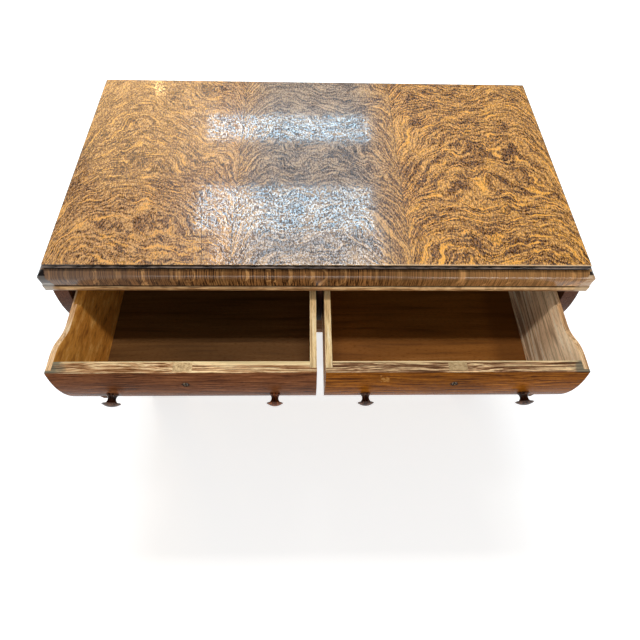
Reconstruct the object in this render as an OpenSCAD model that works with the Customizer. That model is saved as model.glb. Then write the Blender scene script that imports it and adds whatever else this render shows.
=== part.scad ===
// Oak writing table with a moulded top, two swelled drawers and scroll legs
// The drawers stand part way open, and the floor is at z = 0

/* [Top] */
// Height of the writing surface above the floor
table_h = 762; // [720:1:800]
// Width of the veneered surface
top_w = 1138; // [1060:1:1240]
// Depth of the veneered surface
top_d = 626; // [600:1:740]
// Number of veneer sheets laid side by side is three, and this is their thickness
veneer_t = 1; // [0.6:0.1:2]
// Thickness of the core board under the veneer
core_t = 14; // [12:1:20]
// Radius of the small bead worked along the edge of the core
core_bead_r = 2.5; // [1.5:0.1:3.5]
// Height of the moulded frame under the core
frame_h = 36; // [34:1:50]
// How far a frame member reaches in from the edge of the surface
frame_in = 45; // [38:1:60]
// How far the nose of the frame stands out past the surface
nose_out = 17.5; // [14:0.5:22]
// Radius of the upper curve of the nose
nose_r = 17; // [12:1:20]
// Radius of the long lower curve of the nose
nose_low_r = 144; // [100:1:200]
// Height of the bead strip under the frame
bead_h = 19; // [17:1:22]
// Radius of the round edges of the bead strip
bead_r = 8; // [6:0.5:8]
// How far the bead strip stands out past the surface
bead_out = 20; // [16:0.5:22]
// Radius of the corners of the frame, seen from above
corner_r = 6; // [4:1:14]
// Radius of the corners of the bead strips, seen from above
bead_corner_r = 10; // [6:1:16]

/* [Case] */
// How far the fullest point of the swelled front stands out past the surface
swell_out = 21; // [18:0.5:26]
// Radius of the swelled profile of the fronts, end panels and back apron
swell_r = 227; // [190:1:300]
// Drop from the underside of the top to the fullest point of the swell
swell_drop = 58; // [50:1:66]
// Thickness of an end panel
end_t = 31.5; // [26:0.5:36]
// How far the outer face of an end panel stands out past the surface
end_out = 4.5; // [2:0.5:8]
// Thickness of the back apron at its fullest point
apron_t = 32; // [28:1:40]
// Thickness of the divider between the drawers
divider_t = 12; // [10:0.5:18]
// Thickness of the rails and runners under the drawers
rail_t = 18; // [15:1:24]
// Width of the front and back rails, front to back
rail_w = 60; // [50:1:70]
// How far the front rail is set back from the fullest point of the swell
rail_set = 35; // [30:1:42]
// Width of an outer runner
runner_w = 72; // [60:1:84]
// How far an outer runner reaches in past the foot of the leaning side
runner_past = 16; // [10:1:30]
// Height of a drawer guide
guide_h = 20; // [14:1:30]
// How far a guide stands up past the edge of the leaning side
guide_over = 5; // [2:0.5:8]
// Distance from the ogee of the leaning side to the guide
guide_clear = 3; // [1:0.5:8]
// Width of the kicker above a drawer
kicker_w = 40; // [30:1:60]
// Width of a drawer stop
stop_w = 34; // [24:1:50]
// How far a drawer stop stands up past the drawer bottom
stop_up = 26; // [16:1:40]

/* [Drawers] */
// Height of a drawer front
front_h = 140; // [126:1:150]
// Thickness of a drawer front along its top edge
front_top_t = 25; // [24:0.5:28]
// Radius of the lower inner corner of a drawer front
front_corner_r = 4; // [1:0.5:8]
// Gap above and below a drawer front
drawer_gap = 2; // [1:0.5:3]
// Gap between a drawer front and the end panel
end_gap = 4; // [2:0.5:6]
// Gap between a drawer front and the divider
divider_gap = 2.75; // [1.5:0.25:4]
// Length of a drawer from its fullest point to the back
drawer_len = 560; // [480:1:580]
// How far the drawers stand open
drawer_open = 196; // [100:1:240]
// Thickness of the upright side next to the divider
inner_side_t = 13.5; // [11:0.5:16]
// How far the upright side lies below the top edge of the front
inner_side_drop = 6; // [2:1:12]
// How far the dovetails of the upright side are let into the front
inner_lap = 14; // [8:1:17]
// Width of a dovetail where it leaves the upright side
tail_w = 26; // [20:1:30]
// How much wider a dovetail is at its end
tail_flare = 6; // [2:0.5:8]
// Height of the lowest dovetail's field above the lower edge of the side
tail_up = 8; // [6:1:12]
// Thickness of the leaning side next to the end panel
outer_side_t = 10; // [8:0.5:13]
// Lean of the outer side away from upright, in degrees
outer_lean = 24; // [18:0.5:26]
// How far the leaning side drops behind its front shoulder
outer_side_drop = 14; // [8:1:17]
// Length of the full height shoulder of the leaning side
shoulder_len = 14; // [10:1:30]
// Length of the ogee between the shoulder and the lower edge
ogee_len = 80; // [40:1:100]
// Distance from the ogee to the bevel along the inner edge of the leaning side
bevel_from = 50; // [20:1:80]
// Distance from the end of that bevel to the drawer back
bevel_stop = 20; // [5:1:60]
// Height of the bevel
bevel_h = 8; // [4:0.5:12]
// Width of the flat that the bevel leaves along the outer face
bevel_land = 4; // [2:0.5:7]
// How far the leaning side is let into the front
outer_lap = 19; // [8:1:20]
// Drop from the top edge of the front to the wood outside the leaning side
cheek_drop = 2; // [1.5:0.5:4]
// Thickness of the drawer bottom
bottom_t = 6; // [5:0.5:9]
// Height of the drawer bottom above the lower edge of the sides
bottom_up = 17.7; // [10:0.1:22]
// Depth of the grooves that hold the drawer bottom
groove_d = 5; // [3:0.5:6]
// Thickness of the drawer back
drawer_back_t = 12; // [9:0.5:16]
// Drop from the top edge of the front to the top of the drawer back
drawer_back_drop = 18; // [17:1:26]
// How far the ends of the drawer back are let into the sides
back_lap = 4; // [2:0.5:6]
// Running gap between moving wooden pieces
run_gap = 0.3; // [0.2:0.05:0.6]
// Gap round pieces that are let into one another
seat_gap = 0.1; // [0.05:0.05:0.3]

/* [Knobs and locks] */
// Distance of the inner knob from the inner end of a front
knob_from_inner = 88; // [60:1:120]
// Distance of the outer knob from the outer end of a front
knob_from_outer = 98; // [80:1:140]
// Drop from the top edge of the front to the middle of a knob
knob_drop = 100; // [60:1:104]
// Length of a knob from the drawer front to its crown
knob_len = 27; // [24:1:34]
// Radius of the head of an inner knob
knob_head_r = 17.3; // [15:0.1:20]
// Height of the crown of a knob above the edge of its head
crown_h = 6; // [3:0.5:8]
// How far the crown is set in from the edge of the head
crown_in = 0.5; // [0.2:0.1:1]
// Thickness of the edge of the head of a knob
head_edge_t = 1; // [0.6:0.1:2]
// Radius of the neck of an inner knob, at its thinnest
neck_r = 7.5; // [6.5:0.1:8.5]
// Radius of the foot of an inner knob
knob_foot_r = 11; // [10:0.5:13]
// Thickness of the foot of a knob
knob_foot_t = 2.5; // [1.5:0.5:4]
// How many times as thick as an inner knob an outer knob is
outer_knob_ratio = 1.12; // [1:0.02:1.16]
// Radius of the shank of a knob
shank_r = 6; // [4:0.5:6]
// Length of the shank of a knob
shank_len = 20; // [14:1:22]
// Width of the brass plate of a lock
plate_w = 38; // [36:1:44]
// Depth of the brass plate of a lock
plate_d = 19; // [14:0.5:20]
// Thickness of the brass plate of a lock
plate_t = 2; // [1.5:0.5:3]
// Distance from the inner face of the front to the brass plate
plate_in = 2.5; // [2:0.5:3.5]
// Width of the case of a lock
lock_w = 26; // [20:1:27]
// Height of the case of a lock
lock_h = 56; // [54:1:62]
// Depth of the case of a lock
lock_d = 9.5; // [9:0.5:10]
// Radius of the shank of a plate screw
plate_screw_r = 1.2; // [1:0.1:1.4]
// Radius of the head of a plate screw
plate_screw_head_r = 2; // [1.8:0.1:2.2]
// Length of a plate screw
plate_screw_len = 14; // [10:1:18]
// Width of a lock bolt
bolt_w = 14; // [10:1:18]
// Thickness of a lock bolt
bolt_t = 4.5; // [3.5:0.5:5]
// Length of a lock bolt
bolt_len = 26; // [22:1:28]
// Radius of the hollow in the lower edge of a lock bolt
bolt_hollow_r = 3.5; // [2:0.5:4]
// Gap round a lock bolt in its mortise in the bead strip
mortise_gap = 1; // [0.5:0.5:2]
// Travel of a lock bolt
bolt_travel = 8; // [6:0.5:9]
// Drop from the top edge of the front to the keyhole
keyhole_drop = 39.5; // [38:0.5:44]
// Radius of the round part of the keyhole
keyhole_r = 2.6; // [2:0.1:3]
// Width of the slot of the keyhole
keyhole_slot_w = 2.6; // [2:0.1:3]
// Length of the slot of the keyhole below its centre
keyhole_slot_l = 8; // [6:0.5:9]
// Wall of the brass liner round the keyhole
liner_wall = 2.4; // [1.5:0.1:3]
// Depth of the brass liner
liner_d = 5; // [3:0.5:6]

/* [Base] */
// Thickness of the bearers under the case
bearer_t = 22; // [18:1:30]
// How far a bearer stops short of the fullest point of the swell
bearer_set = 34; // [20:1:60]
// Thickness of a leg, from side to side
leg_t = 64; // [54:1:76]
// Distance of the legs from the outer faces of the end panels
leg_set = 31.5; // [20:0.5:36]
// Distance from the end of a bearer to the middle line of a leg
leg_from_end = 95; // [84:1:104]
// How far the middle line of a leg sways from end to end
leg_sway = 28; // [16:1:34]
// Half of the width of a leg at its waist
leg_waist = 24; // [18:1:30]
// How much the half width of a leg grows towards its ends
leg_swell = 12; // [4:1:18]
// Radius of the lower scroll of a leg
low_scroll_r = 42; // [32:1:46]
// Radius of the upper scroll of a leg
high_scroll_r = 38; // [30:1:42]
// Depth of the round sinking in the middle of a scroll
eye_sink = 3; // [1:0.5:6]
// Width of a scroll band round its sinking
eye_band = 14; // [10:1:20]
// Height of the foot blocks
block_h = 70; // [60:1:84]
// How much shorter than a bearer a foot block is, at each end
block_short = 10; // [0:1:18]
// Width of a foot block
block_w = 90; // [80:1:110]
// Radius of the upper ends of a foot block
block_r = 20; // [14:1:26]
// Length of a pad at each end of a foot block
pad_len = 115; // [100:1:140]
// Height of the arch under a foot block
arch_h = 20; // [12:1:26]
// Thickness of the lower shelf
shelf_t = 22; // [18:1:30]
// Width of the lower shelf at its ends, front to back
shelf_w = 300; // [260:1:320]
// Width of the lower shelf at its middle, front to back
shelf_mid_w = 160; // [130:1:220]
// Length of the straight edge of the shelf beside a foot block
shelf_flat = 35; // [20:1:60]
// How far the ends of the shelf lie in from the outer faces of the foot blocks
shelf_in = 10; // [4:1:20]
// Radius of the shank of a bearer screw
screw_r = 2.2; // [1.8:0.1:3]
// Length of a bearer screw
screw_len = 44; // [36:1:50]
// Radius of the head of a bearer screw
screw_head_r = 4.6; // [4:0.1:6]
// Distance from the end of a bearer to its outer screws
screw_from_end = 115; // [90:1:150]
// Extra depth of a drilled hole past the end of what it takes
hole_spare = 1; // [0.5:0.5:3]

/* [Hidden] */
$fn = 64;
left = -1;
right = 1;
front = -1;
back = 1;
// Reach of cutting shapes past what they cut
past = 5;
// Number of sides that stand for a large circle
fine = 240;

// Heights of the layers, from the top down
core_top_z = table_h - veneer_t;
frame_top_z = core_top_z - core_t;
bead_top_z = frame_top_z - frame_h;
under_z = bead_top_z - bead_h;
front_top_z = under_z - drawer_gap;
front_low_z = front_top_z - front_h;
rail_top_z = front_low_z - drawer_gap;
case_low_z = rail_top_z - rail_t;
bearer_low_z = case_low_z - bearer_t;

// The swelled profile: its fullest point and the centre of its arc, closed
swell_z = under_z - swell_drop;
swell_y = -top_d / 2 - swell_out;
swell_cy = swell_y + swell_r;

// Drawer places, for the right hand drawer when closed
front_end_x = top_w / 2 + end_out - end_t - end_gap;
front_start_x = divider_t / 2 + divider_gap;
front_mid_x = (front_start_x + front_end_x) / 2;
front_in_y = swell_y + swell_sag(front_top_z) + front_top_t;
drawer_back_y = swell_y + drawer_len;
side_low_z = rail_top_z + run_gap;
floor_low_z = side_low_z + bottom_up;
floor_z = floor_low_z + bottom_t;
inner_side_x = front_start_x + seat_gap;
inner_wall_x = inner_side_x + inner_side_t;
knob_z = front_top_z - knob_drop;
knob_angle = asin((swell_z - knob_z) / swell_r);
inner_knob_x = front_start_x + knob_from_inner;
outer_knob_x = front_end_x - knob_from_outer;
keyhole_z = front_top_z - keyhole_drop;
lock_y = front_in_y - plate_in - plate_d / 2;
lock_low_z = front_top_z - lock_h;
plate_screw_x = (lock_w + plate_w) / 4;
bolt_low_z = front_top_z - run_gap - bolt_len;

// Case places
end_in_x = top_w / 2 + end_out - end_t;
rail_y = swell_y + rail_set;
apron_in_y = -swell_y - apron_t;
back_rail_y = apron_in_y - rail_w;
runner_y = rail_y + rail_w;
runner_x = lean_in_x(side_low_z) - runner_past;
guide_y = front_in_y + shoulder_len + ogee_len + guide_clear;

// Base places
bearer_len = -2 * swell_y - 2 * bearer_set;
leg_y = bearer_len / 2 - leg_from_end;
block_len = bearer_len - 2 * block_short;
arch_len = block_len - 2 * pad_len;
screw_pitch = bearer_len / 2 - screw_from_end;
shelf_z = block_h;
leg_x = top_w / 2 + end_out - leg_set - leg_t;
block_x = leg_x + leg_t / 2 - block_w / 2;
leg_h = bearer_low_z - block_h;
shelf_len = 2 * (block_x + block_w - shelf_in);
shelf_curve = 2 * (block_x - shelf_flat);

// The table is set so that the middle of its whole reach lies over the origin
knob_crown_r = crown_radius(outer_knob_ratio);
knob_reach = (swell_r + knob_len - knob_crown_r) * cos(knob_angle) + knob_crown_r;
reach_front = swell_cy - knob_reach - drawer_open;
reach_back = max(-swell_y, top_d / 2 + max(nose_out, bead_out));
shift_y = -(reach_front + reach_back) / 2;

// How far the swelled face lies behind its fullest point at a height z
function swell_sag(z) = swell_r - sqrt(swell_r * swell_r - (z - swell_z) * (z - swell_z));

// Outer face of the leaning drawer side at a height z
function lean_x(z) = front_end_x - seat_gap - (front_top_z - z) * tan(outer_lean);

// Inner face of the leaning drawer side at a height z
function lean_in_x(z) = lean_x(z) - outer_side_t / cos(outer_lean);

// Middle line of a leg, as a distance towards the outside at a share t of its height
function leg_line(t) = leg_sway * cos(360 * t);

// Half width of a leg at a share t of its height
function leg_half(t) = leg_waist + leg_swell * (2 * t - 1) * (2 * t - 1);

// Radius of the crown of a knob that is so many times as thick as an inner knob
function crown_radius(ratio) =
    let (reach = knob_head_r * ratio - crown_in)
    (reach * reach + crown_h * crown_h) / (2 * crown_h);

// Height of the middle of the hollow of a knob, which runs from the foot to the head. The foot and
// the head stand out past the neck by foot_out and head_out, and end at the heights low and high
function hollow_height(foot_out, head_out, low, high) =
    let (
        a = head_out - foot_out,
        b = foot_out * high - head_out * low,
        c = head_out * (foot_out * foot_out + low * low) - foot_out * (head_out * head_out + high * high)
    )
    (sqrt(b * b - a * c) - b) / a;

// Drawn in (y, z) and run along x from 0
module along_x(len) {
    rotate([90, 0, 90]) linear_extrude(len) children();
}

// Drawn in (x, z) and run along y from 0
module along_y(len) {
    translate([0, len, 0]) rotate([90, 0, 0]) linear_extrude(len) children();
}

// Puts what is drawn for the right hand on either side
module on_side(side) {
    mirror([side == left ? 1 : 0, 0, 0]) children();
}

// Moves a drawer piece from its closed place to where it stands open
module opened() {
    translate([0, -drawer_open, 0]) children();
}

// Rectangle with round corners, centred
module round_plan(w, d, r) {
    square([w - 2 * r, d], center = true);
    square([w, d - 2 * r], center = true);
    for (x = [-1, 1], y = [-1, 1])
        translate([x * (w / 2 - r), y * (d / 2 - r)]) circle(r);
}

// Section of the frame: x runs outwards from the edge of the surface
module nose_section() {
    nose_x = nose_out - nose_r;
    nose_z = frame_top_z - nose_r;
    intersection() {
        translate([nose_x, nose_z]) circle(nose_r);
        translate([nose_x, nose_z]) square(nose_r + past);
    }
    translate([-frame_in, nose_z]) square([frame_in + nose_x, nose_r]);
    intersection() {
        translate([nose_out - nose_low_r, nose_z]) circle(nose_low_r, $fn = fine);
        translate([-frame_in, bead_top_z]) square([frame_in + nose_out + past, nose_z - bead_top_z]);
    }
}

// Section of the bead strip
module bead_section() {
    translate([-frame_in, under_z]) square([frame_in + bead_out - bead_r, bead_h]);
    translate([bead_out - 2 * bead_r, under_z + bead_r]) square([2 * bead_r, bead_h - 2 * bead_r]);
    for (z = [under_z + bead_r, bead_top_z - bead_r])
        translate([bead_out - bead_r, z]) circle(bead_r);
}

// One mitred side of a moulding round a surface of width w and depth d, with round corners
module moulding_run(w, d, reach, r) {
    intersection() {
        translate([-w / 2 - reach, -d / 2, 0])
            along_x(w + 2 * reach) mirror([1, 0]) children();
        linear_extrude(table_h) polygon([
            [-w / 2 - reach, -d / 2 - reach], [w / 2 + reach, -d / 2 - reach],
            [w / 2 - frame_in, -d / 2 + frame_in], [-w / 2 + frame_in, -d / 2 + frame_in]
        ]);
        linear_extrude(table_h) round_plan(w + 2 * reach, d + 2 * reach, r);
    }
}

// A long side of a moulding at the front or the back
module long_side(end, reach, r) {
    rotate([0, 0, end == back ? 180 : 0]) moulding_run(top_w, top_d, reach, r) children();
}

// A short side of a moulding at the left or the right
module short_side(side, reach, r) {
    rotate([0, 0, side * 90]) moulding_run(top_d, top_w, reach, r) children();
}

// The part of the (y, z) plane in front of the swelled profile
module swell_waste(low_z, high_z) {
    difference() {
        translate([swell_y - past, low_z - past]) square([swell_r / 2, high_z - low_z + 2 * past]);
        translate([swell_cy, swell_z]) circle(swell_r, $fn = fine);
    }
}

// Keyhole outline grown by an edge, in (x, z) about its centre
module keyhole_outline(edge) {
    circle(keyhole_r + edge);
    translate([-keyhole_slot_w / 2 - edge, -keyhole_slot_l - edge])
        square([keyhole_slot_w + 2 * edge, keyhole_slot_l + edge]);
}

module veneer(place) {
    sheet_w = top_w / 3;
    color("peru") translate([-top_w / 2 + place * sheet_w, -top_d / 2, core_top_z])
        cube([sheet_w, top_d, veneer_t]);
}

module top_core() {
    bead_z = core_top_z - core_t / 2;
    color("dimgray") {
        translate([-top_w / 2, -top_d / 2, frame_top_z]) cube([top_w, top_d, core_t]);
        for (end = [front, back])
            translate([-top_w / 2, end * top_d / 2, bead_z])
                rotate([0, 90, 0]) cylinder(r = core_bead_r, h = top_w);
        for (side = [left, right])
            translate([side * top_w / 2, top_d / 2, bead_z])
                rotate([90, 0, 0]) cylinder(r = core_bead_r, h = top_d);
        for (side = [left, right], end = [front, back])
            translate([side * top_w / 2, end * top_d / 2, bead_z]) sphere(core_bead_r);
    }
}

module frame_long(end) {
    color("saddlebrown") long_side(end, nose_out, corner_r) nose_section();
}

module frame_short(side) {
    color("saddlebrown") short_side(side, nose_out, corner_r) nose_section();
}

// The front strip is mortised above each lock bolt
module bead_long(end) {
    color("chocolate") difference() {
        long_side(end, bead_out, bead_corner_r) bead_section();
        if (end == front)
            for (side = [left, right])
                translate([
                    side * front_mid_x - bolt_w / 2 - mortise_gap,
                    lock_y - bolt_t / 2 - mortise_gap,
                    under_z - past
                ]) cube([bolt_w + 2 * mortise_gap, bolt_t + 2 * mortise_gap, bolt_travel + past]);
    }
}

module bead_short(side) {
    color("chocolate") short_side(side, bead_out, bead_corner_r) bead_section();
}

// The end panels carry the swelled profile at the front and the back
module end_panel(side) {
    color("sienna") on_side(side) difference() {
        translate([end_in_x, 0, 0]) along_x(end_t) difference() {
            translate([swell_y, case_low_z]) square([-2 * swell_y, under_z - case_low_z]);
            swell_waste(case_low_z, under_z);
            mirror([1, 0]) swell_waste(case_low_z, under_z);
        }
        for (place = [-1, 0, 1])
            translate([end_in_x + end_t / 2, place * screw_pitch, bearer_low_z])
                cylinder(r = screw_r + seat_gap, h = screw_len + hole_spare);
    }
}

module back_apron() {
    color("sienna") translate([-end_in_x, 0, 0]) along_x(2 * end_in_x) difference() {
        translate([apron_in_y, case_low_z]) square([apron_t, under_z - case_low_z]);
        mirror([1, 0]) swell_waste(case_low_z, under_z);
    }
}

module centre_divider() {
    color("saddlebrown") translate([-divider_t / 2, 0, 0]) along_x(divider_t) difference() {
        translate([swell_y, rail_top_z]) square([apron_in_y - swell_y, under_z - rail_top_z]);
        swell_waste(rail_top_z, under_z);
    }
}

module front_rail() {
    color("burlywood") translate([-end_in_x, rail_y, case_low_z])
        cube([2 * end_in_x, rail_w, rail_t]);
}

module back_rail() {
    color("burlywood") translate([-end_in_x, back_rail_y, case_low_z])
        cube([2 * end_in_x, rail_w, rail_t]);
}

module runner_outer(side) {
    color("tan") on_side(side) translate([runner_x, runner_y, case_low_z])
        cube([runner_w, back_rail_y - runner_y, rail_t]);
}

module runner_centre() {
    color("tan") translate([-inner_wall_x, runner_y, case_low_z])
        cube([2 * inner_wall_x, back_rail_y - runner_y, rail_t]);
}

// A strip on the end panel that keeps the drawer straight
module guide(side) {
    guide_top_z = front_top_z - outer_side_drop + guide_over;
    guide_x = lean_x(front_top_z - outer_side_drop) + run_gap;
    color("burlywood") on_side(side) translate([guide_x, guide_y, guide_top_z - guide_h])
        cube([end_in_x - guide_x, apron_in_y - guide_y, guide_h]);
}

// A strip above each drawer that keeps it from tipping when it is out
module kicker(side) {
    kicker_y = -top_d / 2 + frame_in;
    color("tan") on_side(side) translate([front_mid_x - kicker_w / 2, kicker_y, under_z])
        cube([kicker_w, -2 * kicker_y, bead_h]);
}

// A block on the back rail that the closed drawer comes up to
module drawer_stop(side) {
    stop_y = drawer_back_y + run_gap;
    color("burlywood") on_side(side) translate([front_mid_x - stop_w / 2, stop_y, rail_top_z])
        cube([stop_w, apron_in_y - stop_y, floor_z + stop_up - rail_top_z]);
}

module bearer(side) {
    bearer_w = leg_t + leg_set;
    color("saddlebrown") on_side(side) difference() {
        translate([leg_x, -bearer_len / 2, bearer_low_z]) cube([bearer_w, bearer_len, bearer_t]);
        for (place = [-1, 0, 1])
            translate([end_in_x + end_t / 2, place * screw_pitch, bearer_low_z]) {
                translate([0, 0, -past]) cylinder(r = screw_r + seat_gap, h = bearer_t + 2 * past);
                translate([0, 0, -seat_gap])
                    cylinder(r1 = screw_head_r + 2 * seat_gap, r2 = screw_r + seat_gap, h = screw_head_r);
            }
    }
}

// Slotted countersunk screws that hold the bearers to the end panels
module bearer_screws() {
    slot_w = 1;
    color("gray") for (side = [left, right], place = [-1, 0, 1])
        on_side(side) translate([end_in_x + end_t / 2, place * screw_pitch, bearer_low_z])
            difference() {
                union() {
                    cylinder(r = screw_r, h = screw_len);
                    cylinder(r1 = screw_head_r, r2 = screw_r, h = screw_head_r - screw_r);
                }
                translate([-screw_head_r, -slot_w / 2, -past])
                    cube([2 * screw_head_r, slot_w, slot_w + past]);
            }
}

// Outline of a leg in (y, z): y runs outwards from the middle line, z up from the foot
module leg_outline() {
    steps = 48;
    difference() {
        union() {
            polygon(concat(
                [for (i = [0:steps]) [leg_line(i / steps) + leg_half(i / steps), leg_h * i / steps]],
                [for (i = [steps:-1:0]) [leg_line(i / steps) - leg_half(i / steps), leg_h * i / steps]]
            ));
            translate([leg_line(0) + leg_half(0) - low_scroll_r / 2, low_scroll_r]) circle(low_scroll_r);
            translate([leg_line(1) + leg_half(1) - high_scroll_r / 2, leg_h - high_scroll_r])
                circle(high_scroll_r);
        }
        translate([-leg_y, -past]) square([2 * leg_y, past]);
        translate([-leg_y, leg_h]) square([2 * leg_y, past]);
    }
}

// A leg sawn from thick stock, with a sinking in each scroll on both faces
module leg(side, end) {
    low = [leg_line(0) + leg_half(0) - low_scroll_r / 2, low_scroll_r];
    high = [leg_line(1) + leg_half(1) - high_scroll_r / 2, leg_h - high_scroll_r];
    color("saddlebrown") on_side(side) mirror([0, end == front ? 1 : 0, 0])
        translate([leg_x, leg_y, block_h]) difference() {
            along_x(leg_t) leg_outline();
            for (x = [-past, leg_t - eye_sink])
                translate([x, 0, 0]) along_x(eye_sink + past) {
                    translate(low) circle(low_scroll_r - eye_band);
                    translate(high) circle(high_scroll_r - eye_band);
                }
        }
}

module foot_block(side) {
    color("saddlebrown") on_side(side) translate([block_x, 0, 0]) along_x(block_w) difference() {
        union() {
            translate([-block_len / 2, 0]) square([block_len, block_h - block_r]);
            translate([-block_len / 2 + block_r, 0]) square([block_len - 2 * block_r, block_h]);
            for (end = [front, back])
                translate([end * (block_len / 2 - block_r), block_h - block_r]) circle(block_r);
        }
        translate([-arch_len / 2 + arch_h, -past]) square([arch_len - 2 * arch_h, arch_h + past]);
        translate([-arch_len / 2, -past]) square([arch_len, past]);
        for (end = [front, back])
            translate([end * (arch_len / 2 - arch_h), 0]) circle(arch_h);
    }
}

// The shelf lies on the foot blocks, and its long edges curve in
module shelf() {
    dip = (shelf_w - shelf_mid_w) / 2;
    edge_r = (shelf_curve * shelf_curve / 4 + dip * dip) / (2 * dip);
    color("sienna") translate([0, 0, shelf_z]) linear_extrude(shelf_t) difference() {
        square([shelf_len, shelf_w], center = true);
        for (end = [front, back])
            translate([0, end * (shelf_mid_w / 2 + edge_r)]) circle(edge_r, $fn = fine);
    }
}

// Turns a knob's axis from +z to the outward direction of the swelled face
module on_swell(x) {
    translate([x, swell_cy, swell_z]) rotate([90 + knob_angle, 0, 0])
        translate([0, 0, swell_r]) children();
}

module drawer_front(side) {
    color("sienna") opened() on_side(side) difference() {
        translate([front_start_x, 0, 0]) along_x(front_end_x - front_start_x) difference() {
            translate([swell_y, front_low_z]) square([front_in_y - swell_y, front_h]);
            swell_waste(front_low_z, front_top_z);
        }
        for (x = [inner_knob_x, outer_knob_x])
            on_swell(x) translate([0, 0, -shank_len - hole_spare])
                cylinder(r = shank_r + seat_gap, h = shank_len + hole_spare + past);
        lock_room(seat_gap, past);
        plate_screw_places()
            translate([0, 0, -plate_screw_len - hole_spare])
                cylinder(r = plate_screw_r + seat_gap, h = plate_screw_len + hole_spare + past);
        translate([front_mid_x, swell_y - past, keyhole_z])
            along_y(lock_y - swell_y + past) keyhole_outline(0);
        translate([front_mid_x, swell_y - past, keyhole_z])
            along_y(liner_d + swell_sag(keyhole_z) + past + 2 * seat_gap)
                keyhole_outline(liner_wall + seat_gap);
        floor_groove();
        front_sockets();
        translate([front_start_x, swell_y - past, front_low_z])
            along_y(front_in_y - swell_y + 2 * past) corner_waste();
    }
}

// What the eased corner of a drawer front leaves out. The round meets both edges at a slight angle
module corner_waste() {
    mid = 0.92 * front_corner_r;
    difference() {
        translate([-past, -past]) square(mid + past);
        translate([mid, mid]) circle(front_corner_r);
    }
}

// Section of the dovetails of the upright side in (y, z), grown by a gap
module dovetails(gap) {
    field = (front_top_z - inner_side_drop - side_low_z - tail_up) / 3;
    for (place = [0:2]) {
        mid_z = side_low_z + tail_up + (place + 0.5) * field;
        root = tail_w / 2 + gap;
        end = root + tail_flare / 2;
        polygon([
            [front_in_y + past, mid_z - root], [front_in_y + past, mid_z + root], [front_in_y, mid_z + root],
            [front_in_y - inner_lap - gap, mid_z + end], [front_in_y - inner_lap - gap, mid_z - end],
            [front_in_y, mid_z - root]
        ]);
    }
}

// The top dovetail is filled up to the top edge of the upright side
module tail_head(gap, over) {
    side_top_z = front_top_z - inner_side_drop;
    translate([front_in_y - inner_lap - gap, side_top_z - tail_w / 2])
        square([inner_lap + gap + past, tail_w / 2 + over]);
}

// Section of the leaning side in (x, z), grown by a gap, and run past its ends by an overlap
module lean_section(gap, over) {
    low_z = side_low_z - over;
    high_z = front_top_z + over;
    wide = gap / cos(outer_lean);
    polygon([
        [lean_in_x(low_z) - wide, low_z], [lean_x(low_z) + wide, low_z],
        [lean_x(high_z) + wide, high_z], [lean_in_x(high_z) - wide, high_z]
    ]);
}

// What is cut from the back of a drawer front for its two sides
module front_sockets() {
    translate([front_start_x - past, 0, 0]) along_x(inner_side_t + past + 2 * seat_gap) {
        dovetails(seat_gap);
        tail_head(seat_gap, inner_side_drop + past);
    }
    translate([0, front_in_y - outer_lap - seat_gap, 0])
        along_y(outer_lap + seat_gap + past) {
            lean_section(seat_gap, past);
            translate([lean_in_x(front_top_z), front_top_z - cheek_drop])
                square([front_end_x + past - lean_in_x(front_top_z), cheek_drop + past]);
        }
}

// The space that a lock takes in the drawer front, grown by a gap and run up past the top edge
module lock_room(gap, over) {
    translate([front_mid_x - plate_w / 2 - gap, lock_y - plate_d / 2 - gap, front_top_z - plate_t - gap])
        cube([plate_w + 2 * gap, plate_d + 2 * gap, plate_t + gap + over]);
    translate([front_mid_x - lock_w / 2 - gap, lock_y - lock_d / 2 - gap, lock_low_z - gap])
        cube([lock_w + 2 * gap, lock_d + 2 * gap, lock_h - plate_t + gap]);
}

// Puts what is drawn at a screw's head at the two screws of a lock plate
module plate_screw_places() {
    for (turn = [-1, 1])
        translate([front_mid_x + turn * plate_screw_x, lock_y, front_top_z]) children();
}

// Section of the drawer bottom in (x, z), grown by a gap on all sides
module floor_section(gap) {
    polygon([
        [inner_wall_x - groove_d - gap, floor_low_z - gap],
        [lean_in_x(floor_low_z) + groove_d + gap, floor_low_z - gap],
        [lean_in_x(floor_z) + groove_d + gap, floor_z + gap],
        [inner_wall_x - groove_d - gap, floor_z + gap]
    ]);
}

// The groove for the drawer bottom in the front and the two sides
module floor_groove() {
    translate([0, front_in_y - groove_d - seat_gap, 0])
        along_y(drawer_back_y - front_in_y + groove_d + past) floor_section(seat_gap);
}

module drawer_bottom(side) {
    color("peru") opened() on_side(side) translate([0, front_in_y - groove_d, 0])
        along_y(drawer_back_y - front_in_y + groove_d) floor_section(0);
}

module drawer_inner_side(side) {
    color("burlywood") opened() on_side(side) difference() {
        union() {
            translate([inner_side_x, front_in_y, side_low_z])
                cube([inner_side_t, drawer_back_y - front_in_y, front_top_z - inner_side_drop - side_low_z]);
            translate([inner_side_x, 0, 0]) along_x(inner_side_t) {
                dovetails(0);
                tail_head(0, 0);
            }
        }
        floor_groove();
        back_room(seat_gap, past);
    }
}

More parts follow.
